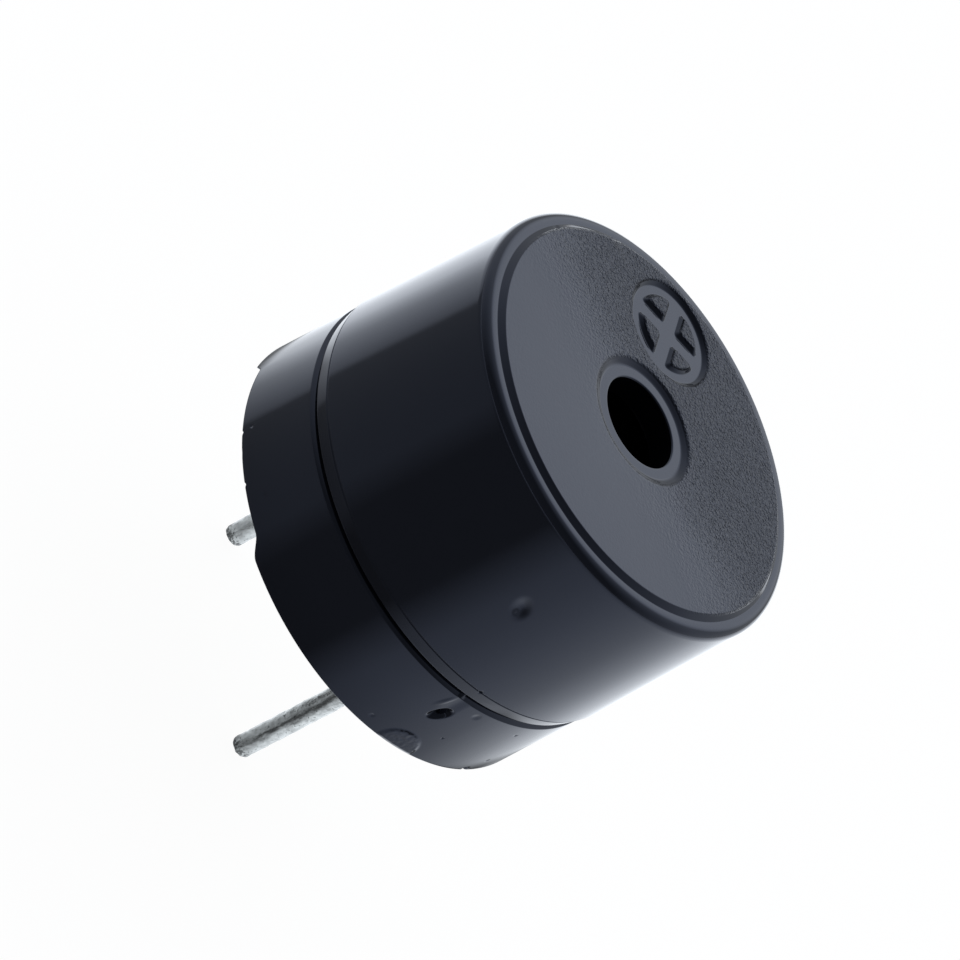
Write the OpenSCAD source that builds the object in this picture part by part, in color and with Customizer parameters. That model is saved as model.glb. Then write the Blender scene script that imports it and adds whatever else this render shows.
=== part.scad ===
// Passive magnetic buzzer, 12 mm round, for a printed circuit board.
// The origin is the centre of the seating plane under the base's rim. +Z points out of the sounding face.
// The negative pin is on +X and the positive pin on -X.

/* [Housing] */
// Largest diameter, at the foot of the upper case
case_d = 12.1; // [11.9:0.05:12.5]
// Height from the seating plane to the sounding face
total_h = 8.5; // [8.2:0.1:9.5]
// Lean of the upper case's wall, in degrees
draft = 1.9; // [0.5:0.1:2.5]
// Radius of the rounded edge round the face
top_fillet = 0.28; // [0.15:0.01:0.35]
// Height of the base's outer wall
base_h = 2.53; // [2.4:0.01:2.6]
// Diameter of the base at the seating plane
base_d = 12.06; // [11.9:0.02:12.1]
// Height of the open groove between base and upper case
groove_h = 0.26; // [0.1:0.02:0.4]
// Height of the flared lip under the parting line of the upper case
lip_h = 0.42; // [0.2:0.02:0.5]
// Thickness of the wall that carries the sounding face
top_t = 0.9; // [0.6:0.05:1.1]

/* [Sounding face] */
// Diameter of the sound hole
hole_d = 2.5; // [1.5:0.1:2.8]
// Depth of the smooth marks below the grained field
mark_depth = 0.12; // [0.05:0.01:0.2]
// Diameter of the grained field
field_d = 10.76; // [10:0.02:10.9]
// Outer diameter of the smooth ring round the sound hole, at its floor
hole_ring_d = 3.12; // [2.9:0.02:3.6]
// Distance of the polarity mark from the centre
mark_r = 3.66; // [3.3:0.02:3.75]
// Direction of the polarity mark from the centre, in degrees
mark_angle = 158.2; // [0:0.1:360]
// Outer diameter of the polarity mark's ring, at its floor
mark_ring_d = 2.72; // [2:0.02:2.8]
// Width of the polarity mark's lines, at their floor
mark_line = 0.23; // [0.15:0.01:0.3]
// Width of the polarity mark's plus, at its floor
plus_line = 0.42; // [0.2:0.02:0.5]

/* [Pins] */
// Distance between the pins
pitch = 6.5; // [6.1:0.1:6.6]
// Diameter of a pin
pin_d = 0.6; // [0.5:0.05:0.7]
// Length of a pin below the seating plane
pin_len = 5.5; // [3:0.1:8]

/* [Motor] */
// Diameter of the diaphragm
diaphragm_d = 10.3; // [10.1:0.05:10.4]
// Thickness of the diaphragm
diaphragm_t = 0.1; // [0.05:0.01:0.15]
// Diameter of the armature disc on the diaphragm
armature_d = 3.6; // [3:0.1:4.5]
// Thickness of the armature disc
armature_t = 0.4; // [0.2:0.05:0.6]
// Outer diameter of the ring magnet
magnet_d = 9.0; // [8.8:0.05:9.2]
// Hole of the ring magnet
magnet_bore = 6.6; // [6.4:0.05:7]
// Height of the ring magnet
magnet_h = 2.8; // [2.2:0.1:2.9]
// Outer diameter of the winding
coil_d = 5.4; // [4.4:0.1:5.4]
// Diameter of the enamelled wire
wire_d = 0.1; // [0.08:0.01:0.12]
// Diameter of the core's pole
core_d = 1.9; // [1.6:0.1:2.2]
// Thickness of the yoke plate
yoke_t = 0.8; // [0.6:0.05:0.85]
// Thickness of the circuit board
board_t = 0.8; // [0.6:0.05:0.85]

/* [Hidden] */
$fn = 96;
eps = 0.01;

black = "#1a1c20";
steel = "#b4b6b8";
tin = "#c6c8c6";
copper = "#b8622c";

// Heights of the stack inside, from the seating plane up
board_z = 0.5;
yoke_z = board_z + board_t;
magnet_z = yoke_z + yoke_t;
diaphragm_z = 5.3;
clamp_z = diaphragm_z + diaphragm_t;
pole_gap = 0.3;
cavity_top = total_h - top_t;
floor_z = total_h - mark_depth;

// Upper case
case_r = case_d / 2;
lip_set = 0.02;
lip_flare = 0.07;
lip_z = base_h + groove_h;
parting_z = lip_z + lip_h;
socket_r = 5.23;
cavity_r = 4.85;
mark_slope = 0.13;
pip_r = 0.06;

// Base
base_r = base_d / 2;
base_lean = 0.05;
shoulder_r = base_r - base_lean - 0.62 * groove_h;
spigot_r = 5.2;
spigot_chamfer = 0.15;
magnet_well_r = 4.65;
yoke_seat_r = 4.9;
board_seat_r = 5.15;
notch_near = 2.8;
notch_far = -3.33;
notch_depth = 0.28;
near_ramp = 0.6;
far_ramp = 0.3;
gate_angle = -5;

// Board, yoke and pins
part_gap = 0.05;
yoke_r = yoke_seat_r - part_gap;
board_r = board_seat_r - part_gap;
shank_r = 0.6;
rivet_r = 0.95;
rivet_h = 0.3;
window_r = 1.0;
pin_r = pin_d / 2;
pin_tip = 0.14;
pin_seat_r = 0.38;
pin_head_r = 0.55;
pin_head_h = 0.15;
pad_r = 1.0;
pad_t = 0.05;
pad_z = board_z - pad_t;
solder_r = 0.85;
solder_tip = 0.03;
solder_z = 0.03;
tail_x = pitch / 2 - 0.45;
tail_y = -0.56;
tail_hole_r = wire_d / 2 + 0.02;
// The two pins and all that belongs to them differ by half a turn
PIN_TURNS = [0, 180];

// Radius of the upper case's wall at a height above its parting line
function wall_r(z) = case_r - (z - parting_z) * tan(draft);

// Radius of the base's outer wall at a height up to its top edge
function base_wall_r(z) = base_r - base_lean * z / base_h;

// Places a shape at the outer wall, with its own Z along the radius and its own X down the wall
module on_wall(angle, z, r) {
    rotate([0, 0, angle]) translate([r, 0, z]) rotate([0, 90, 0]) children();
}

// Round-ended bar in the outer wall, its inner side depth below the wall's radius r
module wall_bar(angle, z, r, lean, bar_r, depth, half_len) {
    on_wall(angle, z, r + bar_r - depth) rotate([0, 0, lean]) {
        rotate([0, 90, 0]) cylinder(r = bar_r, h = 2 * half_len, center = true);
        for (side = [-1, 1]) translate([side * half_len, 0, 0]) sphere(r = bar_r);
    }
}

// Section of the upper case's body, with a true round edge at the top
module case_section() {
    fillet_z = floor_z - top_fillet;
    fillet_x = wall_r(fillet_z) - top_fillet / cos(draft);
    polygon([
        [socket_r, lip_z], [case_r - lip_set - lip_flare, lip_z], [case_r - lip_set, parting_z],
        [case_r, parting_z],
        [fillet_x + top_fillet * cos(draft), fillet_z + top_fillet * sin(draft)],
        [fillet_x, fillet_z], [fillet_x, floor_z], [hole_d / 2, floor_z],
        [hole_d / 2, cavity_top], [cavity_r, cavity_top], [cavity_r, clamp_z], [socket_r, clamp_z]
    ]);
    translate([fillet_x, fillet_z]) circle(r = top_fillet);
}

// Section of the grained field, which stands proud of the smooth marks
module field_section() {
    field_r = field_d / 2;
    ring_r = hole_ring_d / 2;
    polygon([
        [ring_r, floor_z - eps], [ring_r, floor_z], [ring_r + mark_slope, total_h],
        [field_r - mark_slope / 2, total_h], [field_r + mark_slope / 2, floor_z],
        [field_r + mark_slope / 2, floor_z - eps]
    ]);
}

// Sloped groove of the polarity mark's ring
module mark_ring() {
    outer = mark_ring_d / 2;
    inner = outer - mark_line;
    rotate_extrude() polygon([
        [inner, floor_z], [outer, floor_z],
        [outer + mark_slope, total_h], [outer + mark_slope, total_h + eps],
        [inner - mark_slope, total_h + eps], [inner - mark_slope, total_h]
    ]);
}

// Sloped groove of one arm of the plus, which ends inside the ring
module mark_arm() {
    half = plus_line / 2;
    slope = mark_slope * 0.8;
    reach = mark_ring_d - mark_line;
    rotate([90, 0, 0]) translate([0, 0, -reach / 2]) linear_extrude(height = reach) polygon([
        [-half, floor_z], [half, floor_z], [half + slope, total_h], [half + slope, total_h + eps],
        [-half - slope, total_h + eps], [-half - slope, total_h]
    ]);
}

module polarity_mark() {
    rotate([0, 0, mark_angle]) translate([mark_r, 0, 0]) {
        mark_ring();
        for (turn = [0, 90]) rotate([0, 0, turn]) mark_arm();
    }
}

// Shallow dent in the case's wall, longer up the wall than it is wide
module wall_dent() {
    dent_z = 5.98;
    wall_bar(-21.8, dent_z, wall_r(dent_z), 11, 0.36, 0.05, 0.45);
}

module upper_case() color(black) difference() {
    union() {
        rotate_extrude() case_section();
        difference() {
            rotate_extrude() field_section();
            polarity_mark();
        }
    }
    wall_dent();
    // Pinhole on the parting line
    on_wall(-5.7, parting_z, case_r) sphere(r = pip_r);
}

// Wash-out notch through the rim, with a ramp at each end, longer on the negative pin's side
module rim_notch() {
    rotate([90, 0, 0]) linear_extrude(height = case_r) polygon([
        [notch_far, -eps], [notch_near, -eps], [notch_near, 0],
        [notch_near - near_ramp, notch_depth], [notch_far + far_ramp, notch_depth], [notch_far, 0]
    ]);
}

// Torn gate: a leaning pit, and a shallow channel from it up to the shoulder
module gate_scar() {
    pit_z = 1.78;
    channel_r = 0.3;
    channel_depth = 0.07;
    wall_bar(gate_angle, pit_z, base_wall_r(pit_z), -25, 0.17, 0.16, 0.14);
    rotate([0, 0, gate_angle]) translate([base_wall_r(base_h) - channel_depth + channel_r, 0, pit_z])
        cylinder(r = channel_r, h = base_h);
}

// Burr that stands proud along the channel
module gate_burr() {
    burr_z = 2.3;
    wall_bar(gate_angle - 2.8, burr_z, base_wall_r(burr_z), -17, 0.05, 0.065, 0.18);
}

// Sliver of flash that the torn gate left across the groove
module gate_flash() {
    width = 0.14;
    root = 0.1;
    rotate([0, 0, gate_angle - 1.6]) translate([shoulder_r - root, -width / 2, base_h - root])
        cube([base_r - base_lean - shoulder_r, width, root + groove_h * 0.8]);
}

// Round ejector mark that stands proud of the wall and ends at the rim's edge
module ejector_mark() {
    mark_z = 0.13;
    proud = 0.018;
    root = 0.3;
    intersection() {
        cylinder(r = base_r + proud, h = base_h);
        on_wall(-3.3, mark_z, base_r - root) cylinder(r = 0.62, h = 2 * root);
    }
}

// Small chip out of the rim's outer edge
module rim_chip() {
    rotate([0, 0, 23.9]) translate([base_r + 0.02, 0, -0.03]) sphere(r = 0.12);
}

module base_housing() color(black) {
    difference() {
        rotate_extrude() polygon([
            [board_seat_r, 0], [base_r, 0], [base_r - base_lean, base_h],
            [shoulder_r, lip_z], [spigot_r, lip_z],
            [spigot_r, diaphragm_z - spigot_chamfer], [spigot_r - spigot_chamfer, diaphragm_z],
            [magnet_well_r, diaphragm_z], [magnet_well_r, magnet_z],
            [yoke_seat_r, magnet_z], [yoke_seat_r, yoke_z], [board_seat_r, yoke_z]
        ]);
        for (side = [0, 180]) rotate([0, 0, side]) rim_notch();
        gate_scar();
        rim_chip();
    }
    gate_burr();
    gate_flash();
    ejector_mark();
}

module diaphragm() color(steel)
    translate([0, 0, diaphragm_z]) cylinder(d = diaphragm_d, h = diaphragm_t);

module armature_disc() color(tin) rotate_extrude() {
    edge = 0.08;
    polygon([
        [0, clamp_z], [armature_d / 2, clamp_z], [armature_d / 2, clamp_z + armature_t - edge],
        [armature_d / 2 - edge, clamp_z + armature_t], [0, clamp_z + armature_t]
    ]);
}

module ring_magnet() color("#3c3b3d") {
    edge = 0.15;
    top = magnet_z + magnet_h;
    outer = magnet_d / 2;
    inner = magnet_bore / 2;
    rotate_extrude() polygon([
        [inner, magnet_z], [outer, magnet_z], [outer, top - edge], [outer - edge, top],
        [inner + edge, top], [inner, top - edge]
    ]);
}

// End of the winding's wire, from the coil down through yoke and board to the pad
module coil_tail() {
    start_z = magnet_z + wire_d * 1.5;
    reach = norm([tail_x, tail_y]);
    run = 0.4;
    rotate([0, 0, atan2(tail_y, tail_x)]) {
        translate([reach - run, 0, start_z]) rotate([0, 90, 0]) cylinder(d = wire_d, h = run);
        translate([reach, 0, start_z]) sphere(d = wire_d);
        translate([reach, 0, pad_z]) cylinder(d = wire_d, h = start_z - pad_z);
    }
}

module coil() color(copper) {
    coil_z = magnet_z + wire_d / 2;
    turns = floor((magnet_h - 0.3) / wire_d);
    skin_r = coil_d / 2 - wire_d / 2;
    rotate_extrude() {
        translate([core_d / 2, coil_z]) square([skin_r - core_d / 2, turns * wire_d]);
        // The outer layer of turns
        for (turn = [0 : turns - 1])
            translate([skin_r, coil_z + (turn + 0.5) * wire_d]) circle(d = wire_d, $fn = 16);
    }
    for (turn = PIN_TURNS) rotate([0, 0, turn]) coil_tail();
}

// Pole and shank are one turned piece, and the shank's end is riveted over under the board
module core() color(steel) {
    pole_top = diaphragm_z - pole_gap;
    cap_r = (rivet_r * rivet_r + rivet_h * rivet_h) / (2 * rivet_h);
    translate([0, 0, magnet_z]) cylinder(d = core_d, h = pole_top - magnet_z);
    translate([0, 0, board_z - eps]) cylinder(r = shank_r, h = magnet_z - board_z + 2 * eps);
    intersection() {
        translate([0, 0, board_z - rivet_h + cap_r]) sphere(r = cap_r);
        translate([0, 0, board_z - rivet_h - eps]) cylinder(r = 2 * rivet_r, h = rivet_h + eps);
    }
}

module yoke_plate() color(steel) translate([0, 0, yoke_z]) difference() {
    cylinder(r = yoke_r, h = yoke_t);
    translate([0, 0, -eps]) cylinder(r = shank_r, h = yoke_t + 2 * eps);
    for (turn = PIN_TURNS) rotate([0, 0, turn]) translate([pitch / 2, 0, -eps])
        cylinder(r = window_r, h = yoke_t + 2 * eps);
}

// Holes for the pin on +X and for the wire's end beside it, through a layer of height h
module lead_holes(z, h) {
    translate([pitch / 2, 0, z - eps]) cylinder(r = pin_seat_r, h = h + 2 * eps);
    translate([tail_x, tail_y, z - eps]) cylinder(r = tail_hole_r, h = h + 2 * eps);
}

module circuit_board() color("#2f6b45") difference() {
    translate([0, 0, board_z]) cylinder(r = board_r, h = board_t);
    translate([0, 0, board_z - eps]) cylinder(r = shank_r, h = board_t + 2 * eps);
    for (turn = PIN_TURNS) rotate([0, 0, turn]) lead_holes(board_z, board_t);
}

// Copper land round the pin on +X, on the board's lower face
module pad() color(copper) difference() {
    translate([pitch / 2, 0, pad_z]) cylinder(r = pad_r, h = pad_t);
    lead_holes(pad_z, pad_t);
}

module negative_pad() pad();
module positive_pad() rotate([0, 0, 180]) pad();

// Straight pin with a rounded tip, a thicker seat in solder and board, and a collar that bears on the board
module pin() color(tin) translate([pitch / 2, 0, 0]) {
    rotate_extrude() {
        polygon([
            [0, -pin_len], [pin_r - pin_tip, -pin_len], [pin_r - pin_tip, -pin_len + pin_tip],
            [pin_r, -pin_len + pin_tip], [pin_r, solder_z], [pin_seat_r, solder_z],
            [pin_seat_r, yoke_z], [pin_head_r, yoke_z],
            [pin_head_r, yoke_z + pin_head_h], [0, yoke_z + pin_head_h]
        ]);
        translate([pin_r - pin_tip, -pin_len + pin_tip]) intersection() {
            circle(r = pin_tip);
            translate([0, -pin_tip]) square([pin_tip, pin_tip]);
        }
    }
}

module negative_pin() pin();
module positive_pin() rotate([0, 0, 180]) pin();

// Solder that wets the pad and climbs the pin in a hollow curve
module solder() color("#b9bcbc") {
    steps = 8;
    spread = solder_r - pin_seat_r - solder_tip;
    curve = [for (i = [0 : steps])
        let (t = i / steps)
        [pin_seat_r + solder_tip + spread * pow(1 - t, 2), pad_z * (1 - t) + solder_z * t]];
    translate([pitch / 2, 0, 0]) rotate_extrude()
        polygon(concat([[pin_seat_r, pad_z]], curve, [[pin_seat_r, solder_z]]));
}

module negative_solder() solder();
module positive_solder() rotate([0, 0, 180]) solder();

// Epoxy fillet between the board's edge and the base's rim
module sealing_bead() color("#26241f") {
    width = 0.4;
    height = 0.2;
    steps = 6;
    rotate_extrude() polygon(concat([[board_seat_r, board_z]], [for (i = [0 : steps])
        let (a = 90 * i / steps)
        [board_seat_r - width * (1 - sin(a)), board_z - height * (1 - cos(a))]]));
}

upper_case();
base_housing();
diaphragm();
armature_disc();
ring_magnet();
coil();
core();
yoke_plate();
circuit_board();
positive_pad();
negative_pad();
positive_pin();
negative_pin();
positive_solder();
negative_solder();
sealing_bead();
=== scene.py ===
import math

import bmesh
import bpy
from mathutils import Matrix, Vector, geometry, noise


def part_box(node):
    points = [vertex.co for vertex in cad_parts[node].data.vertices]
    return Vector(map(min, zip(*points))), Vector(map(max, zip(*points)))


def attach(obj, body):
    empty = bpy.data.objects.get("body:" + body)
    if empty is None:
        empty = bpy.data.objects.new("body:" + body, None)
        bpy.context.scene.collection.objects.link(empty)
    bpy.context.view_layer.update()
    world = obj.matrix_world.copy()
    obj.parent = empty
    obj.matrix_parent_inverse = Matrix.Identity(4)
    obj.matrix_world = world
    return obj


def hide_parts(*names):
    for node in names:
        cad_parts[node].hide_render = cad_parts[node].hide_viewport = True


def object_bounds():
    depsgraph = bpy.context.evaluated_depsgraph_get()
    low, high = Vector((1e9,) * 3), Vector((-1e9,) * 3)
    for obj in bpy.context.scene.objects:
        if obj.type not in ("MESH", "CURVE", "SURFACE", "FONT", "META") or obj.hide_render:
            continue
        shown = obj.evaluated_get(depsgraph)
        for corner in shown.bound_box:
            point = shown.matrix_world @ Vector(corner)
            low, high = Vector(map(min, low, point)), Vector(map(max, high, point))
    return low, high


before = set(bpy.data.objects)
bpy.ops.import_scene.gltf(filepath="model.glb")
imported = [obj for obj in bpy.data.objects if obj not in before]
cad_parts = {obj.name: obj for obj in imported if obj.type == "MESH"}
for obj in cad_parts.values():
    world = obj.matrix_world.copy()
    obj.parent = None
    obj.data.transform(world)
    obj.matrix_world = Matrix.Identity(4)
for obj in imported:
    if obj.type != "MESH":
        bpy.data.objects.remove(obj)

# Lengths are millimetres, and meshes turn them into metres
MM = 0.001
CAD_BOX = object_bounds()


def node_box(name):
    low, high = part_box(name)
    return low / MM, high / MM


# Camera: a long lens that looks at the buzzer from above its negative side, rolled over to the left
CAMERA_TARGET = Vector((-0.197, -0.685, 3.6263))
CAMERA_AZIMUTH = -48.65
CAMERA_ELEVATION = 31.6266
CAMERA_DISTANCE = 203.675
CAMERA_ROLL = -62.109
CAMERA_LENS = 300.0
CAMERA_SENSOR = 36.0

# Upper case
CASE_LOW, CASE_HIGH = node_box("upper_case")
TOTAL_H = CASE_HIGH.z
LIP_Z = CASE_LOW.z
CASE_R = CASE_HIGH.x
PARTING_Z = LIP_Z + 0.42
LIP_R = CASE_R - 0.09
LIP_TOP_R = CASE_R - 0.012
PARTING_GROOVE = 0.03
DRAFT = math.tan(math.radians(1.9))
TOP_FILLET = 0.28
MARK_DEPTH = 0.12
FLOOR_OF_MARKS = TOTAL_H - MARK_DEPTH
FIELD_R = 5.38
FIELD_SLOPE = 0.18
HOLE_R = 1.25
HOLE_RING_R = 1.56
HOLE_RING_SLOPE = 0.32
CAVITY_TOP = TOTAL_H - 0.9
CAVITY_R = 4.85
SOCKET_R = 5.23
CLAMP_Z = node_box("diaphragm")[1].z
# Chips in the edge of the grained field: angle and size
FIELD_CHIPS = [
    (-172.9, 0.11), (-174.6, 0.08), (-146.75, 0.05), (173.0, 0.05), (166.0, 0.06), (148.25, 0.06),
    (156.0, 0.05),
]
FIELD_CHIP_DEPTH = 0.04
# Dent in the wall: a trough whose foot stands further round than its top
DENT_ANGLE = -21.7
DENT_Z = 5.98
DENT_DEPTH = 0.085
DENT_HALF_WIDTH = 0.34
DENT_HALF_HEIGHT = 0.46
DENT_LEAN = 0.23
# Pinhole on the parting line, and a speck that stands out of the lip
PINHOLE_ANGLE = -5.7
PINHOLE_DEPTH = 0.06
PINHOLE_SIZE = 0.07
SPECK_ANGLE = -0.35
SPECK_Z = 2.98
SPECK_HEIGHT = 0.006
SPECK_SIZE = 0.05
# All of the section further out than this is the outer wall
CASE_WALL_FROM_R = 5.7
# Turning steps in degrees: the plain step, and finer ones in spans (from, to, step)
CASE_STEP = 1.0
CASE_FINE_SPANS = [(-26, -17, 0.25), (-7, -4.5, 0.15)]

# Polarity mark on the face
MARK_CENTRE_R = 3.66
MARK_ANGLE = 158.2
MARK_OUTER_R = 1.36
MARK_INNER_R = 1.13
MARK_PLUS_HALF = 0.21
MARK_OUTER_SLOPE = 0.208
MARK_INNER_SLOPE = 0.16
MARK_CORNER = 0.12
MARK_PATCH_R = 1.57

# Base
BASE_HIGH = node_box("base_housing")[1]
BASE_R = 6.03
BASE_LEAN = 0.05
BASE_H = 2.58
SHOULDER_R = 5.76
SPIGOT_R = 5.2
SPIGOT_CHAMFER = 0.15
MAGNET_WELL_R = 4.65
YOKE_SEAT_R = 4.9
BOARD_SEAT_R = 5.15
YOKE_Z = node_box("yoke_plate")[0].z
MAGNET_Z = node_box("yoke_plate")[1].z
NOTCH_NEAR = 2.8
NOTCH_FAR = -3.33
NOTCH_DEPTH = 0.28
NOTCH_NEAR_RAMP = 0.62
NOTCH_FAR_RAMP = 0.3
# Torn gate's pit, where the gate broke off
GATE_PIT = {"at_angle": -5.0, "at_z": 1.78, "lean": -30, "stretch": 1.9}
GATE_PIT_DEPTH = 0.3
GATE_PIT_SIZE = 0.21
# Scoop from the pit up to the shoulder
SCOOP_ANGLE = -5.2
SCOOP_DEPTH = 0.035
SCOOP_HALF_WIDTH = 0.3
SCOOP_START = (1.5, 2.1)
# Burr along the scoop's left side
BURR = {"at_angle": -7.9, "at_z": 2.24, "lean": -16, "stretch": 4.0}
BURR_HEIGHT = 0.02
BURR_SIZE = 0.11
# Flash from the gate that closes the joint's groove
FLASH_ANGLE = -6.4
FLASH_REACH = 0.15
FLASH_HALF_WIDTH = 0.13
# Ejector mark: how far it stands out, and where its edge and its foot fade
EJECTOR_ANGLE = -3.3
EJECTOR_Z = 0.13
EJECTOR_PROUD = 0.042
EJECTOR_ROUGH = 0.008
EJECTOR_EDGE = (0.51, 0.66)
EJECTOR_FOOT = (0.02, 0.12)
# Chips in the rim: angle and size
RIM_CHIPS = [(-96.5, 0.05), (-81.5, 0.05), (-90.2, 0.03)]
# Nicks in the wall from handling: angle, height, depth and size
NICKS = [
    (-14.75, 0.39, 0.02, 0.09), (3.24, 1.11, 0.03, 0.05), (19.4, 2.15, 0.02, 0.07), (26.6, 0.59, 0.02, 0.07),
    (2.2, 2.34, 0.02, 0.16), (-97.0, 0.4, 0.02, 0.07), (-76.5, 0.7, 0.015, 0.1), (23.4, 0.08, 0.07, 0.13),
]
# All of the section further out than this is the rim and the outer wall
RIM_FROM_R = 5.9
BASE_STEP = 1.5
BASE_FINE_SPANS = [
    (-125, -119, 0.25), (-70, -60, 0.25), (55, 63, 0.5), (110, 118, 0.5), (-17, -12, 0.25), (-12, 6, 0.14),
    (18, 28, 0.25), (-98.5, -95, 0.25), (-83, -75, 0.25),
]

# Pins
PIN_LOW, PIN_HIGH = node_box("negative_pin")
PIN_X = (PIN_LOW.x + PIN_HIGH.x) / 2
PIN_R = 0.3
PIN_SEAT_R = 0.38
PIN_HEAD_R = 0.55
PIN_HEAD_Z = (YOKE_Z, PIN_HIGH.z)
SOLDER_Z = 0.03
PIN_TIP = 0.12
# How far each pin's free part is bent along X, by the side it stands on, within this depth below the seat
PIN_BEND = {1: 0.22, -1: 0.14}
PIN_BEND_DEPTH = 2.4
# The tin coat's coarse and fine lumps, and how uneven the cut end is
PIN_LUMPS = 0.012
PIN_FINE_LUMPS = 0.008
PIN_END_ROUGH = 0.03


# ---------------------------------------------------------------- meshes

def clamp01(value):
    return max(0.0, min(1.0, value))


def smooth(low, high, value):
    """0 below low, 1 above high, and an even rise between."""
    t = clamp01((value - low) / (high - low))
    return t * t * (3 - 2 * t)


def bump(distance, reach):
    """1 at distance 0, falling evenly to 0 at reach."""
    return 1 - smooth(0, reach, distance)


def slope_height(distance, reach):
    """Height of a mark's slope, 0 at its foot and 1 at reach, with soft ends and a steeper foot."""
    t = clamp01(distance / reach)
    return smooth(0, 1, t ** 0.85)


def soft_min(first, second, reach):
    """The smaller value, with the corner where they cross rounded off within reach."""
    near = max(reach - abs(first - second), 0) / reach
    return min(first, second) - near * near * reach / 4


def rounded(corners, steps=5, support=0.03):
    """A closed section from corners (r, z, radius), with an arc at each and a point just past its ends."""
    points = []
    for i, (r, z, radius) in enumerate(corners):
        here = Vector((r, z))
        if not radius:
            points.append(here)
            continue
        back = Vector(corners[i - 1][:2]) - here
        ahead = Vector(corners[(i + 1) % len(corners)][:2]) - here
        back_room = back.length / 2
        ahead_room = ahead.length / 2
        back.normalize()
        ahead.normalize()
        half = back.angle(ahead) / 2
        reach = radius / math.tan(half)
        centre = here + (back + ahead).normalized() * radius / math.sin(half)
        start = (here + back * reach - centre).normalized()
        end = (here + ahead * reach - centre).normalized()
        if reach + support < back_room:
            points.append(here + back * (reach + support))
        points += [centre + start.slerp(end, k / steps) * radius for k in range(steps + 1)]
        if reach + support < ahead_room:
            points.append(here + ahead * (reach + support))
    return points


def divided(points, step, wanted):
    """The closed section with each edge that wanted(start, end) picks cut into lengths of about step."""
    out = []
    for i, start in enumerate(points):
        end = points[(i + 1) % len(points)]
        out.append(start)
        if wanted(start, end):
            count = max(1, round((end - start).length / step))
            out += [start.lerp(end, k / count) for k in range(1, count)]
    return out


def turn(fine_spans, coarse):
    """Angles round a full turn, in degrees: steps of coarse, and finer ones in spans (from, to, step)."""
    angles = []
    angle = -180.0
    while angle < 180 - 1e-6:
        angles.append(angle)
        steps = [s for low, high, s in fine_spans if low <= angle < high]
        ahead = [low for low, high, s in fine_spans if angle < low < angle + coarse]
        angle = min(ahead) if ahead and not steps else angle + (min(steps) if steps else coarse)
    return angles


def polar(angle, r, z):
    a = math.radians(angle)
    return Vector((r * math.cos(a), r * math.sin(a), z))


def lathe(section, angles, shape=None, skip=lambda start, end: False):
    """Points and faces of a section turned round the axis. shape(angle, r, z) may move each point."""
    points = []
    for angle in angles:
        for r, z in section:
            moved = shape(angle, r, z) if shape else (r, z)
            points.append(polar(angle, *moved))
    faces = []
    rows = len(section)
    for i in range(len(angles)):
        here, there = i * rows, (i + 1) % len(angles) * rows
        for j in range(rows):
            up = (j + 1) % rows
            if not skip(section[j], section[up]):
                faces.append((here + j, there + j, there + up, here + up))
    return points, faces


def piece(name, parts, material, replaces=()):
    """One object from lists of (points, faces), with points in one place merged."""
    mesh = bpy.data.meshes.new(name)
    points, faces = [], []
    for part_points, part_faces in parts:
        first = len(points)
        points += [p * MM for p in part_points]
        faces += [tuple(first + i for i in face) for face in part_faces]
    mesh.from_pydata(points, [], faces)
    tidy = bmesh.new()
    tidy.from_mesh(mesh)
    bmesh.ops.remove_doubles(tidy, verts=tidy.verts, dist=1e-4 * MM)
    bmesh.ops.dissolve_degenerate(tidy, edges=tidy.edges, dist=1e-5 * MM)
    bmesh.ops.recalc_face_normals(tidy, faces=tidy.faces)
    tidy.to_mesh(mesh)
    tidy.free()
    mesh.polygons.foreach_set("use_smooth", [True] * len(mesh.polygons))
    obj = bpy.data.objects.new(name, mesh)
    bpy.context.scene.collection.objects.link(obj)
    mesh.materials.append(material)
    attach(obj, "root")
    if replaces:
        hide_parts(*replaces)
    return obj


def wall_distance(angle, z, at_angle, at_z, lean=0.0, stretch=1.0):
    """Distance on the wall from a place on it, measured shorter along a line that leans from the vertical."""
    along = z - at_z
    across = math.radians(angle - at_angle) * BASE_R
    a = math.radians(lean)
    u = across * math.cos(a) + along * math.sin(a)
    v = (along * math.cos(a) - across * math.sin(a)) / stretch
    return math.hypot(u, v)


# ---------------------------------------------------------------- upper case

def case_wall_r(z):
    return CASE_R - (z - PARTING_Z) * DRAFT


def ring_slope():
    """Points down the slope of the sunken ring round the hole."""
    steps = 12
    points = []
    for k in range(steps, 0, -1):
        distance = HOLE_RING_SLOPE * k / steps
        height = FLOOR_OF_MARKS + MARK_DEPTH * slope_height(distance, HOLE_RING_SLOPE)
        points.append((HOLE_RING_R + distance, height, 0))
    return points


def case_corners():
    return [
        (SOCKET_R, LIP_Z, 0), (LIP_R, LIP_Z, 0.025), (LIP_TOP_R, PARTING_Z - 0.035, 0.01),
        (CASE_R - PARTING_GROOVE, PARTING_Z - 0.005, 0.012), (CASE_R, PARTING_Z + 0.03, 0.015),
        (case_wall_r(FLOOR_OF_MARKS), FLOOR_OF_MARKS, TOP_FILLET),
        (FIELD_R + FIELD_SLOPE / 2, FLOOR_OF_MARKS, 0.03), (FIELD_R - FIELD_SLOPE / 2, TOTAL_H, 0.05),
        *ring_slope(),
        (HOLE_RING_R, FLOOR_OF_MARKS, 0.01),
        (HOLE_R, FLOOR_OF_MARKS, 0.05), (HOLE_R, CAVITY_TOP, 0.04), (CAVITY_R, CAVITY_TOP, 0.1),
        (CAVITY_R, CLAMP_Z, 0), (SOCKET_R, CLAMP_Z, 0),
    ]


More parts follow.
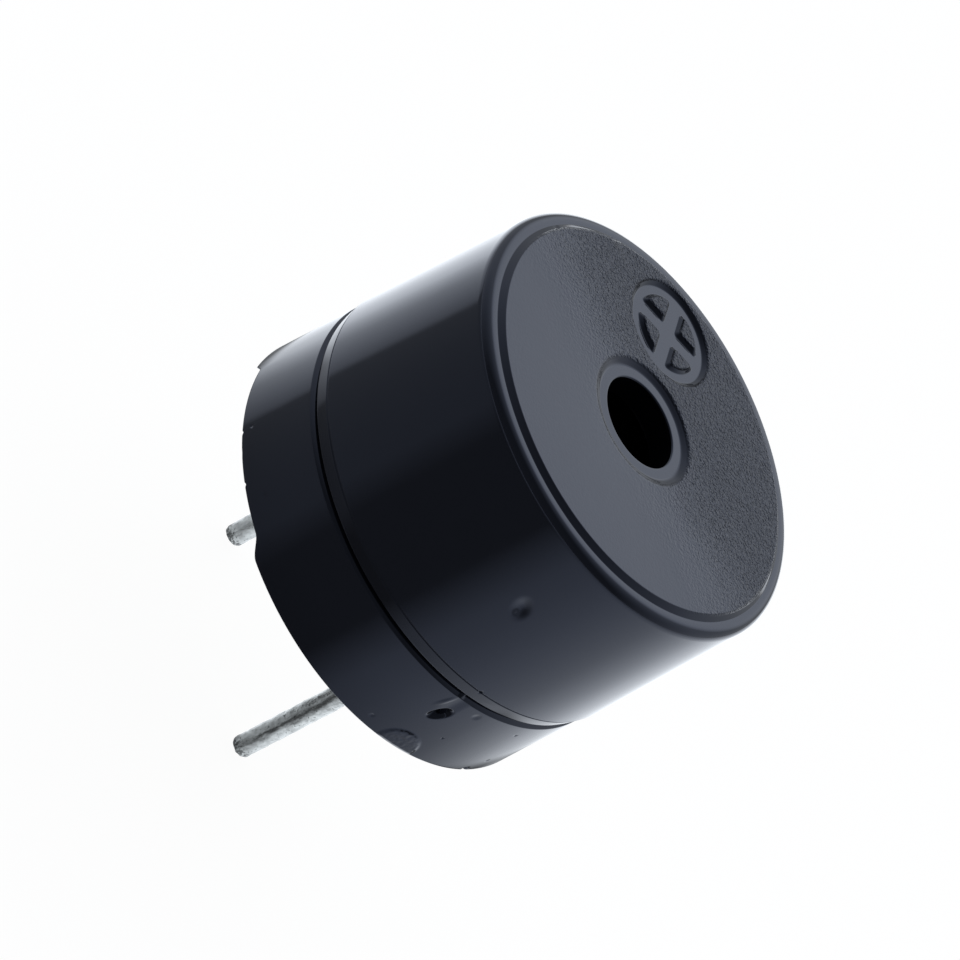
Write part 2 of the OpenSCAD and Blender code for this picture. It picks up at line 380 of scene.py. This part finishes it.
def dent_depth(angle, z):
    """Dent from a knock, deepest in its middle."""
    along = z - DENT_Z
    across = math.radians(angle - DENT_ANGLE) * BASE_R + DENT_LEAN * along
    return DENT_DEPTH * bump(math.hypot(across / DENT_HALF_WIDTH, along / DENT_HALF_HEIGHT), 1.0)


def field_chip_depth(angle):
    return FIELD_CHIP_DEPTH * sum(
        bump(math.radians(abs(angle - at)) * FIELD_R, size) for at, size in FIELD_CHIPS
    )


def case_shape(angle, r, z):
    """Chips the field's edge, and moves the outer wall at its dent, its pinhole and its speck."""
    at_field_edge = r > FIELD_R - 0.12 and z > FLOOR_OF_MARKS + 0.02
    on_wall = r > CAVITY_R + 0.4 and LIP_Z < z < FLOOR_OF_MARKS - TOP_FILLET
    if at_field_edge:
        z -= field_chip_depth(angle)
    if on_wall:
        r -= dent_depth(angle, z)
        r -= PINHOLE_DEPTH * bump(wall_distance(angle, z, PINHOLE_ANGLE, PARTING_Z), PINHOLE_SIZE)
        r += SPECK_HEIGHT * bump(wall_distance(angle, z, SPECK_ANGLE, SPECK_Z), SPECK_SIZE)
    return r, z


def mark_height(x, y):
    """Height of the face round the polarity mark, from the mark's centre, with x along its first arm."""
    r = math.hypot(x, y)
    middle = (MARK_OUTER_R + MARK_INNER_R) / 2
    edge = abs(r - middle) - (MARK_OUTER_R - MARK_INNER_R) / 2
    reach = MARK_OUTER_SLOPE
    if r < middle:
        arms = soft_min(abs(x) - MARK_PLUS_HALF, abs(y) - MARK_PLUS_HALF, MARK_CORNER)
        edge = soft_min(edge, arms, MARK_CORNER)
        reach = MARK_INNER_SLOPE
    return FLOOR_OF_MARKS + MARK_DEPTH * slope_height(edge, reach)


def mark_patch(around=360, step=0.02):
    """The face round the polarity mark as rings of points about the mark's centre."""
    centre = polar(MARK_ANGLE, MARK_CENTRE_R, 0)
    rings = round(MARK_PATCH_R / step)
    lean = math.radians(MARK_ANGLE)
    points = [centre + Vector((0, 0, mark_height(0, 0)))]
    for i in range(1, rings + 1):
        r = MARK_PATCH_R * i / rings
        for j in range(around):
            a = 2 * math.pi * j / around
            height = mark_height(r * math.cos(a), r * math.sin(a))
            points.append(centre + Vector((r * math.cos(a + lean), r * math.sin(a + lean), height)))
    faces = [(0, 1 + j, 1 + (j + 1) % around) for j in range(around)]
    for i in range(rings - 1):
        first, second = 1 + i * around, 1 + (i + 1) * around
        for j in range(around):
            k = (j + 1) % around
            faces.append((first + j, second + j, second + k, first + k))
    rim = points[-around:]
    return (points, faces), rim


def plateau(outer, inner, island):
    """Flat face between three closed rings of points: outside, round the hole and round the mark."""
    rings = [outer, inner, island]
    points = [p for ring in rings for p in ring]
    edges, first = [], 0
    for ring in rings:
        edges += [(first + i, first + (i + 1) % len(ring)) for i in range(len(ring))]
        first += len(ring)
    flat, _, faces = geometry.delaunay_2d_cdt([p.xy for p in points], edges, [], 0, 1e-7)[:3]
    centre = polar(MARK_ANGLE, MARK_CENTRE_R, 0).xy
    inner_r = inner[0].xy.length
    kept = []
    for face in faces:
        middle = sum((flat[i] for i in face), Vector((0, 0))) / len(face)
        if middle.length > inner_r * 0.999 and (middle - centre).length > MARK_PATCH_R * 0.999:
            kept.append(tuple(face))
    return [Vector((p.x, p.y, TOTAL_H)) for p in flat], kept


def on_plateau(start, end):
    return min(start.y, end.y) > TOTAL_H - 1e-6 and abs(start.x - end.x) > 1


def on_case_wall(start, end):
    upright = abs(start.x - end.x) < 0.3
    return upright and min(start.x, end.x) > CASE_WALL_FROM_R and min(start.y, end.y) > LIP_Z + 0.02


def on_plain_wall(point):
    """Whether a point is on a straight stretch of the wall that has nothing to shape, so it isn't needed."""
    band = DENT_HALF_HEIGHT + 0.05
    below_dent = PARTING_Z + 0.2 < point.y < DENT_Z - band
    above_dent = DENT_Z + band < point.y < FLOOR_OF_MARKS - TOP_FILLET - 0.1
    return point.x > CASE_WALL_FROM_R and (below_dent or above_dent)


def upper_case(material):
    section = divided(rounded(case_corners()), 0.05, on_case_wall)
    section = [point for point in section if not on_plain_wall(point)]
    angles = turn(CASE_FINE_SPANS, CASE_STEP)
    body = lathe(section, angles, case_shape, skip=on_plateau)
    flat = [p for i, p in enumerate(section)
            if on_plateau(p, section[(i + 1) % len(section)]) or on_plateau(section[i - 1], p)]
    outer = [polar(angle, flat[0].x, TOTAL_H) for angle in angles]
    inner = [polar(angle, flat[-1].x, TOTAL_H) for angle in angles]
    patch, rim = mark_patch()
    return piece("upper_case_skin", [body, plateau(outer, inner, rim), patch], material,
                 ["upper_case"])


# ---------------------------------------------------------------- base

def base_corners():
    return [
        (BOARD_SEAT_R, 0, 0.03), (BASE_R, 0, 0.04), (BASE_R - BASE_LEAN, BASE_H, 0.03),
        (SHOULDER_R, LIP_Z, 0), (SPIGOT_R, LIP_Z, 0), (SPIGOT_R, BASE_HIGH.z - SPIGOT_CHAMFER, 0),
        (SPIGOT_R - SPIGOT_CHAMFER, BASE_HIGH.z, 0), (MAGNET_WELL_R, BASE_HIGH.z, 0),
        (MAGNET_WELL_R, MAGNET_Z, 0), (YOKE_SEAT_R, MAGNET_Z, 0), (YOKE_SEAT_R, YOKE_Z, 0),
        (BOARD_SEAT_R, YOKE_Z, 0),
    ]


def notch_lift(x):
    """Height of the rim's notch at x, with a long ramp at one end and a steep one at the other."""
    near = 1 - smooth(NOTCH_NEAR - NOTCH_NEAR_RAMP, NOTCH_NEAR, x)
    far = clamp01((x - NOTCH_FAR) / NOTCH_FAR_RAMP)
    return NOTCH_DEPTH * near * far


def gate_depth(angle, z):
    """Torn gate: a deep pit, a scoop from it up to the shoulder and a burr along the scoop's left side."""
    depth = GATE_PIT_DEPTH * bump(wall_distance(angle, z, **GATE_PIT), GATE_PIT_SIZE)
    across = math.radians(angle - SCOOP_ANGLE) * BASE_R
    depth += SCOOP_DEPTH * bump(abs(across), SCOOP_HALF_WIDTH) * smooth(*SCOOP_START, z)
    return depth - BURR_HEIGHT * bump(wall_distance(angle, z, **BURR), BURR_SIZE)


def ejector_depth(angle, z):
    """Round ejector mark, proud of the wall and rough, that ends at the rim's edge."""
    distance = wall_distance(angle, z, EJECTOR_ANGLE, EJECTOR_Z)
    rough = EJECTOR_ROUGH * noise.noise(Vector((angle * 1.1, z * 11, 0)))
    return (rough - EJECTOR_PROUD) * (1 - smooth(*EJECTOR_EDGE, distance)) * smooth(*EJECTOR_FOOT, z)


def nick_depth(angle, z):
    return sum(depth * bump(wall_distance(angle, z, at, height), size) for at, height, depth, size in NICKS)


def rim_chip_lift(angle):
    return sum(size * bump(abs(math.radians(angle - at)) * BASE_R, size * 1.7) for at, size in RIM_CHIPS)


def base_shape(angle, r, z):
    """Lifts the rim at its notches and chips, moves the wall at its scars and the shoulder at the flash."""
    x = r * math.cos(math.radians(angle))
    y = r * math.sin(math.radians(angle))
    on_wall = r > BASE_R - 0.15 and z < BASE_H
    at_shoulder = abs(r - SHOULDER_R) < 0.01 and z > BASE_H
    if on_wall:
        r -= gate_depth(angle, z) + ejector_depth(angle, z) + nick_depth(angle, z)
    if at_shoulder:
        r += FLASH_REACH * bump(abs(math.radians(angle - FLASH_ANGLE)) * BASE_R, FLASH_HALF_WIDTH)
    if z < YOKE_Z:
        lift = notch_lift(x) if y < 0 else notch_lift(-x)
        z += lift * (1 - z / YOKE_Z)
        if r > RIM_FROM_R:
            z += rim_chip_lift(angle) * (1 - z / YOKE_Z)
    return r, z


def on_base_wall(start, end):
    return min(start.x, end.x) > RIM_FROM_R and max(start.y, end.y) < BASE_H


def base_housing(material):
    section = divided(rounded(base_corners()), 0.025, on_base_wall)
    skin = lathe(section, turn(BASE_FINE_SPANS, BASE_STEP), base_shape)
    return piece("base_housing_skin", [skin], material, ["base_housing"])


# ---------------------------------------------------------------- pins

def pin_section():
    """Half a pin's section from the cut tip up to the head, in steps along its length."""
    low = PIN_LOW.z
    body = [Vector((0, low)), Vector((PIN_R - PIN_TIP * 1.4, low))]
    for angle in (30, 50, 70, 90):
        a = math.radians(angle)
        body.append(Vector((PIN_R - PIN_TIP * (1 - math.sin(a)), low + PIN_TIP * (1 - math.cos(a)))))
    steps = round((SOLDER_Z - low - PIN_TIP) / 0.06)
    for k in range(1, steps + 1):
        body.append(Vector((PIN_R, low + PIN_TIP + (SOLDER_Z - low - PIN_TIP) * k / steps)))
    head_low, head_high = PIN_HEAD_Z
    head = [
        (PIN_SEAT_R, SOLDER_Z), (PIN_SEAT_R, head_low), (PIN_HEAD_R, head_low), (PIN_HEAD_R, head_high),
        (0, head_high),
    ]
    return body + [Vector(corner) for corner in head]


def on_axis(start, end):
    return start.x == end.x == 0


def pin(name, side, material):
    """A dipped pin, bent a little below its solder, with a lumpy tin coat and an uneven cut end."""
    def shape(angle, r, z):
        if z < SOLDER_Z - 0.01 and r > 0:
            place = polar(angle, 1, z * 1.2) + Vector((side * 7, 0, 0))
            lumps = PIN_LUMPS * noise.noise(place * 2.2) + PIN_FINE_LUMPS * noise.noise(place * 7)
            r += lumps * (r / PIN_R)
            if z < PIN_LOW.z + PIN_TIP:
                z += PIN_END_ROUGH * (1 + noise.noise(polar(angle, r * 8, side * 3.0)))
        return r, z

    points, faces = lathe(pin_section(), [k * 6.0 for k in range(60)], shape, skip=on_axis)
    points = [
        p + Vector((side * PIN_X + PIN_BEND[side] * smooth(0, PIN_BEND_DEPTH, -p.z), 0, 0)) for p in points
    ]
    return piece(name + "_skin", [(points, faces)], material, [name])


# ---------------------------------------------------------------- materials

# The face's grain: its cells and depth, the line over the face along which it grows from what wear has left
# of it to its full depth, and the two places on that line
GRAIN_SIZE = 0.07
GRAIN_DEPTH = 0.054
GRAIN_SIDE = (-0.55, 0.83, 0)
GRAIN_WORN = 0.05
GRAIN_STARTS = -1.5
GRAIN_FULL = 3.5
# Length of one wave of the board's cloth
WEAVE_PITCH = 0.45


class Nodes:
    """The node tree of a material or world, with short calls for adding and joining nodes."""

    def __init__(self, owner):
        self.owner = owner
        owner.use_nodes = True
        self.tree = owner.node_tree
        self.tree.nodes.clear()

    def add(self, kind, inputs=None, **settings):
        node = self.tree.nodes.new(kind)
        for key, value in settings.items():
            setattr(node, key, value)
        for key, value in (inputs or {}).items():
            if isinstance(value, bpy.types.NodeSocket):
                self.tree.links.new(value, node.inputs[key])
            else:
                node.inputs[key].default_value = value
        return node

    def place(self):
        """The point on the object, in metres."""
        return self.add("ShaderNodeTexCoord").outputs["Object"]

    def split(self, place):
        """The three coordinates of a place."""
        return self.add("ShaderNodeSeparateXYZ", {"Vector": place}).outputs

    def noise(self, size, detail=2.0, roughness=0.5, where=None):
        """Noise with cells of about size millimetres."""
        return self.add("ShaderNodeTexNoise", {
            "Vector": where or self.place(),
            "Scale": 1 / (size * MM),
            "Detail": detail,
            "Roughness": roughness,
        }).outputs[0]

    def range(self, value, low, high, to_low=0.0, to_high=1.0):
        return self.add("ShaderNodeMapRange", {
            "Value": value, "From Min": low, "From Max": high, "To Min": to_low, "To Max": to_high,
        }, interpolation_type="SMOOTHSTEP").outputs[0]

    def math(self, operation, first, second=0.0, third=0.0):
        return self.add("ShaderNodeMath", {0: first, 1: second, 2: third}, operation=operation).outputs[0]

    def facing(self, direction, towards):
        """How far a direction faces another, from -1 to 1, or a place's distance along it."""
        node = self.add("ShaderNodeVectorMath", {0: direction, 1: towards}, operation="DOT_PRODUCT")
        return node.outputs["Value"]

    def blend(self, factor, first, second):
        """A level between two others."""
        return self.add("ShaderNodeMix", {0: factor, 2: first, 3: second}, data_type="FLOAT").outputs[0]

    def along(self, value, stops):
        """Straight runs between stops (value, level), and flat beyond them."""
        level = stops[0][1]
        for (before, _), (after, ahead) in zip(stops, stops[1:]):
            ends = {"Value": value, "From Min": before, "From Max": after}
            level = self.blend(self.add("ShaderNodeMapRange", ends).outputs[0], level, ahead)
        return level

    def mix(self, factor, first, second):
        node = self.add("ShaderNodeMix", data_type="RGBA")
        for socket, value in ((node.inputs[0], factor), (node.inputs[6], first), (node.inputs[7], second)):
            if isinstance(value, bpy.types.NodeSocket):
                self.tree.links.new(value, socket)
            else:
                socket.default_value = value
        return node.outputs[2]

    def relief(self, height, depth, strength=1.0, normal=None):
        """Bump of depth millimetres between a height of 0 and 1."""
        inputs = {"Height": height, "Distance": depth * MM, "Strength": strength}
        if normal:
            inputs["Normal"] = normal
        return self.add("ShaderNodeBump", inputs).outputs[0]

    def surface(self, shader):
        self.add("ShaderNodeOutputMaterial", {"Surface": shader.outputs[0]})
        return self.owner

    def finish(self, **inputs):
        inputs = {key.replace("_", " "): value for key, value in inputs.items()}
        return self.surface(self.add("ShaderNodeBsdfPrincipled", inputs))


def material_nodes(name):
    return Nodes(bpy.data.materials.new(name))


def darker(color, part):
    return tuple(channel * part for channel in color[:3]) + (1,)


def case_plastic():
    """Black glossy moulding. Its sounding face has a fine spark-eroded grain, and its marks are smooth."""
    tree = material_nodes("case_plastic")
    place = tree.place()
    height = tree.split(place)[2]
    on_face = tree.range(height, (TOTAL_H - 0.05) * MM, (TOTAL_H - 0.005) * MM)
    # The grain is worn away on one side of the face, along an uneven edge
    uneven = tree.math("MULTIPLY", tree.noise(2.5, 2.0, 0.5, place), 2 * MM)
    side = tree.math("ADD", tree.facing(place, GRAIN_SIDE), uneven)
    kept = tree.range(side, GRAIN_STARTS * MM, GRAIN_FULL * MM, GRAIN_WORN, 1.0)
    grain = tree.noise(GRAIN_SIZE, 1.0, 0.5, place)
    peel = tree.relief(tree.noise(1.3, 1.0, 0.4, place), 0.003)
    grain = tree.math("MULTIPLY", tree.math("MULTIPLY", grain, on_face), kept)
    normal = tree.relief(grain, GRAIN_DEPTH, 1.0, peel)
    rough = tree.range(tree.noise(0.8, 3.0, 0.6, place), 0.3, 0.7, 0.075, 0.11)
    face_rough = tree.math("MULTIPLY_ADD", kept, 0.14, 0.06)
    rough = tree.math("ADD", rough, tree.math("MULTIPLY", on_face, face_rough))
    return tree.finish(Base_Color=(0.0045, 0.0048, 0.0065, 1), Roughness=rough, IOR=1.58, Normal=normal,
                       Specular_Tint=(0.62, 0.71, 1.0, 1))


def tin(name, color, roughness, lump):
    """Dull tin with a fine grain, pitted with dark specks that crowd more thickly towards the pins' cut tips.
    """
    tree = material_nodes(name)
    place = tree.place()
    coarse = tree.noise(0.22, 3.0, 0.6, place)
    fine = tree.noise(0.07, 2.0, 0.6, place)
    tone = tree.mix(tree.range(coarse, 0.35, 0.65), darker(color, 0.75), color)
    height = tree.split(place)[2]
    # Dark specks grow denser towards the pins' cut tips
    tip = tree.range(height, (PIN_LOW.z + 0.12) * MM, (PIN_LOW.z + 0.5) * MM, 0.2, 0.0)
    specks = tree.range(tree.math("ADD", fine, tip), 0.62, 0.7)
    tone = tree.mix(specks, tone, darker(color, 0.3))
    rough = tree.range(coarse, 0.3, 0.7, roughness + 0.06, roughness - 0.04)
    normal = tree.relief(fine, lump * 0.5, 1.0, tree.relief(coarse, lump))
    return tree.finish(Base_Color=tone, Roughness=rough, Metallic=1.0, Normal=normal)


def plain_metal(name, color, roughness, grain=0.12):
    """Rolled or plated metal with faint marks."""
    tree = material_nodes(name)
    marks = tree.noise(grain, 3.0, 0.6, tree.place())
    tone = tree.mix(tree.range(marks, 0.3, 0.7), darker(color, 0.85), color)
    rough = tree.range(marks, 0.3, 0.7, roughness, roughness + 0.1)
    return tree.finish(Base_Color=tone, Roughness=rough, Metallic=1.0, Normal=tree.relief(marks, 0.002))


def dielectric(name, dark, light, roughness, size, depth):
    """Non-metal with two close tones in a soft grain."""
    tree = material_nodes(name)
    grain = tree.noise(size, 4.0, 0.6, tree.place())
    tone = tree.mix(tree.range(grain, 0.3, 0.7), dark, light)
    rough = tree.range(grain, 0.3, 0.7, roughness, roughness + 0.12)
    return tree.finish(Base_Color=tone, IOR=1.5, Roughness=rough, Normal=tree.relief(grain, depth))


def board_green():
    """Glass-epoxy board: a green mask over a woven cloth."""
    tree = material_nodes("board")
    place = tree.place()
    pitch = WEAVE_PITCH * MM / (2 * math.pi)
    waves = [tree.math("SINE", tree.math("DIVIDE", along, pitch)) for along in tree.split(place)[:2]]
    weave = tree.math("MULTIPLY", *waves)
    grain = tree.noise(0.2, 3.0, 0.6, place)
    shade = tree.range(tree.math("ADD", weave, grain), -0.4, 1.4)
    tone = tree.mix(shade, (0.010, 0.075, 0.030, 1), (0.016, 0.11, 0.042, 1))
    return tree.finish(Base_Color=tone, Roughness=0.32, IOR=1.5, Normal=tree.relief(weave, 0.004))


# ---------------------------------------------------------------- studio

def make_camera():
    azimuth, elevation, roll = (math.radians(v) for v in (CAMERA_AZIMUTH, CAMERA_ELEVATION, CAMERA_ROLL))
    back = Vector((
        math.cos(elevation) * math.cos(azimuth), math.cos(elevation) * math.sin(azimuth), math.sin(elevation),
    ))
    level_right = Vector((0, 0, 1)).cross(back).normalized()
    level_up = back.cross(level_right)
    up = math.cos(roll) * level_up + math.sin(roll) * level_right
    data = bpy.data.cameras.new("camera")
    data.lens = CAMERA_LENS
    data.sensor_width = CAMERA_SENSOR
    data.clip_start = 0.01
    data.clip_end = 10.0
    camera = bpy.data.objects.new("camera", data)
    bpy.context.scene.collection.objects.link(camera)
    turned = Matrix((up.cross(back), up, back)).transposed().to_4x4()
    camera.matrix_world = Matrix.Translation((CAMERA_TARGET + back * CAMERA_DISTANCE) * MM) @ turned
    bpy.context.scene.camera = camera


# The room's light by how far a direction faces its dim side: -1 is the far end and 1 the dim side itself
DIM_SIDE = (0.724, -0.690, 0.25)
ROOM_LIGHT = [(-1.0, 0.5), (-0.88, 0.5), (-0.78, 0.62), (-0.4, 0.7), (0.5, 0.13)]
# Large soft light that the face mirrors, by how far a direction faces it
FACE_LIGHT = (-0.559, 0.643, 0.524)
FACE_LIGHT_LEVEL = [(0.87, 0.0), (0.975, 0.82)]
# The studio's light is a little cool
COOL = (0.9, 0.945, 1.0, 1)
WHITE = (1, 1, 1, 1)
# Height of the floor at the pins' tips
FLOOR_Z = CAD_BOX[0].z / MM
FLOOR_HALF = 1000
FLOOR_COLOR = (0.12, 0.12, 0.12, 1)
FLOOR_GLOW = 0.95


def make_world():
    """White room. The side where the camera stands is dim, as the dark end of a studio is."""
    world = bpy.data.worlds.new("world")
    bpy.context.scene.world = world
    tree = Nodes(world)
    direction = tree.add("ShaderNodeTexCoord").outputs["Generated"]
    room = tree.along(tree.facing(direction, DIM_SIDE), ROOM_LIGHT)
    level = tree.math("ADD", room, tree.along(tree.facing(direction, FACE_LIGHT), FACE_LIGHT_LEVEL))
    seen = tree.add("ShaderNodeLightPath").outputs["Is Camera Ray"]
    level = tree.blend(seen, level, 1.0)
    tone = tree.mix(seen, COOL, WHITE)
    background = tree.add("ShaderNodeBackground", {"Color": tone, "Strength": level})
    tree.add("ShaderNodeOutputWorld", {"Surface": background.outputs[0]})


def flat_stage(name, outline, z, material):
    mesh = bpy.data.meshes.new(name)
    mesh.from_pydata([(x * MM, y * MM, z * MM) for x, y in outline], [], [tuple(range(len(outline)))])
    obj = bpy.data.objects.new(name, mesh)
    obj.data.materials.append(material)
    bpy.context.scene.collection.objects.link(obj)
    return obj


def make_floor():
    """Pale floor at the pins' tips, which shows the object's soft shadow."""
    tree = material_nodes("floor")
    diffuse = tree.add("ShaderNodeBsdfDiffuse", {"Color": FLOOR_COLOR})
    glow = tree.add("ShaderNodeEmission", {"Color": WHITE, "Strength": FLOOR_GLOW})
    material = tree.surface(tree.add("ShaderNodeAddShader", {0: diffuse.outputs[0], 1: glow.outputs[0]}))
    corners = [(-1, -1), (1, -1), (1, 1), (-1, 1)]
    flat_stage("floor", [(x * FLOOR_HALF, y * FLOOR_HALF) for x, y in corners], FLOOR_Z, material)


# Card that only reflections see: its level by azimuth in degrees about a point beside the buzzer. The dark
# stretch is what the camera's side of the wall mirrors, and the pale one behind is what its far sides mirror
CARD_APEX = Vector((3.77, -2.99))
CARD_R = 400
CARD_LIFT = 0.05
CARD_LEVELS = [
    (-180, 1.8), (-176, 1.55), (-167, 1.04), (-157, 0.8), (-150.6, 0.6), (-147.6, 0.24), (-95, 0.24),
    (-79, 0.09), (-27, 0.09), (-2, 0.52), (11, 0.6), (35, 0.77), (57, 0.87), (78, 1.2), (88, 1.42),
    (150, 1.5), (165, 1.85), (180, 1.8),
]
# Near the buzzer the card carries a painted shade, and closest to the buzzer's axis a painted brighter pool:
# part of its level by distance from the buzzer's axis
CARD_SHADE = [(9.4, 1.7), (10.2, 0.75), (11.5, 0.75), (15.5, 1.0), (17.5, 1.14)]
# That painted shade is deeper behind the buzzer: part of the level by azimuth, out to the distances where it
# ends
BACK_SHADE = [
    (-180, 0.14), (-170, 0.14), (-163, 0.6), (-150, 0.7), (-60, 0.7), (57, 1.0), (66, 1.1), (71, 0.5),
    (74, 0.08), (90, 0.08), (100, 0.4), (180, 0.14),
]
BACK_SHADE_END = [(11.8, 0.0), (12.8, 1.0)]
# The room's floor far behind the card by azimuth, and the distances between which it takes over
FAR_LEVELS = [
    (-180, 1.2), (-150, 0.5), (-100, 0.4), (20, 0.4), (60, 0.9), (100, 1.5), (150, 1.5), (180, 1.2),
]
CARD_END = [(70, 0.0), (110, 1.0)]
# Card beside each pin, by azimuth about the pin
PIN_CARD_R = 7.5
PIN_CARD_LIFT = 0.1
PIN_CARD_SHADE = [(0, 1.0), (1, 1.0)]
PIN_CARD_LEVELS = [
    (-180, 1.2), (-166, 1.05), (-150, 0.78), (-136, 0.56), (-122, 0.43), (-105, 0.34), (-88, 0.3), (-75, 0.2),
    (-64, 0.1), (-57, 0.04), (-46, 0.05), (-36, 0.2), (-24, 0.4), (-11, 0.6), (4, 0.85), (30, 1.1), (82, 1.3),
    (131, 1.45), (180, 1.2),
]


def by_azimuth(stops):
    return [(math.radians(angle), level) for angle, level in stops]


def by_distance(stops):
    return [(distance * MM, level) for distance, level in stops]


def card_material(name, levels, shade, back_shade, centre):
    """Emission by azimuth about the card's own origin, with painted shade and a painted brighter pool round
    the buzzer's axis, which is at centre, and that of the room's floor far out."""
    tree = material_nodes(name)
    place = tree.place()
    x, y, _ = tree.split(place)
    azimuth = tree.math("ARCTAN2", y, x)
    level = tree.along(azimuth, by_azimuth(levels))
    axis = (centre.x * MM, centre.y * MM, 0)
    offset = tree.add("ShaderNodeVectorMath", {0: place, 1: axis}, operation="SUBTRACT").outputs[0]
    distance = tree.add("ShaderNodeVectorMath", {0: offset}, operation="LENGTH").outputs["Value"]
    level = tree.math("MULTIPLY", level, tree.along(distance, by_distance(shade)))
    if back_shade:
        end = tree.along(distance, by_distance(BACK_SHADE_END))
        part = tree.blend(end, tree.along(azimuth, by_azimuth(back_shade)), 1.0)
        level = tree.math("MULTIPLY", level, part)
    far = tree.along(distance, by_distance(CARD_END))
    level = tree.blend(far, level, tree.along(azimuth, by_azimuth(FAR_LEVELS)))
    return tree.surface(tree.add("ShaderNodeEmission", {"Color": COOL, "Strength": level}))


def make_card(name, apex, reach, levels, shade, back_shade, lift):
    """A disc just above the floor that is seen by reflections only."""
    outline = [tuple(polar(k * 5, reach, 0).xy) for k in range(72)]
    card = flat_stage(name, outline, 0, card_material(name, levels, shade, back_shade, -apex))
    card.location = Vector((apex.x, apex.y, FLOOR_Z + lift)) * MM
    card.visible_camera = False
    card.visible_diffuse = False
    card.visible_shadow = False
    card.visible_transmission = False


def make_cards():
    make_card("card", CARD_APEX, CARD_R, CARD_LEVELS, CARD_SHADE, BACK_SHADE, CARD_LIFT)
    for side in (-1, 1):
        foot = Vector((side * PIN_X, 0))
        make_card("pin_card", foot, PIN_CARD_R, PIN_CARD_LEVELS, PIN_CARD_SHADE, [], PIN_CARD_LIFT)


# ---------------------------------------------------------------- scene

make_camera()
make_world()
make_floor()
make_cards()

black = case_plastic()
pin_tin = tin("tinned_pin", (0.66, 0.68, 0.67, 1), roughness=0.2, lump=0.012)
upper_case(black)
base_housing(black)
pin("negative_pin", 1, pin_tin)
pin("positive_pin", -1, pin_tin)

looks = {
    "diaphragm": plain_metal("diaphragm_steel", (0.5, 0.5, 0.51, 1), roughness=0.28),
    "armature_disc": plain_metal("armature", (0.55, 0.55, 0.56, 1), roughness=0.35),
    "core": plain_metal("plated_iron", (0.62, 0.62, 0.6, 1), roughness=0.3),
    "yoke_plate": plain_metal("yoke", (0.6, 0.6, 0.58, 1), roughness=0.34),
    "ring_magnet": dielectric(
        "magnet_ferrite", (0.022, 0.022, 0.024, 1), (0.035, 0.034, 0.036, 1),
        roughness=0.5, size=0.1, depth=0.004,
    ),
    "coil": plain_metal("coil_wire", (0.65, 0.22, 0.07, 1), roughness=0.22, grain=0.4),
    "circuit_board": board_green(),
    "sealing_bead": dielectric(
        "epoxy", (0.016, 0.014, 0.011, 1), (0.024, 0.021, 0.016, 1),
        roughness=0.14, size=0.5, depth=0.01,
    ),
}
pad_copper = plain_metal("pad_copper", (0.7, 0.33, 0.16, 1), roughness=0.3)
solder = tin("solder", (0.66, 0.67, 0.67, 1), roughness=0.2, lump=0.006)
for side in ("positive", "negative"):
    looks[side + "_pad"] = pad_copper
    looks[side + "_solder"] = solder
    looks[side + "_pin"] = pin_tin
for name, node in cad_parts.items():
    node.data.materials[0] = looks.get(name, black)

bpy.context.scene.view_settings.view_transform = "Standard"
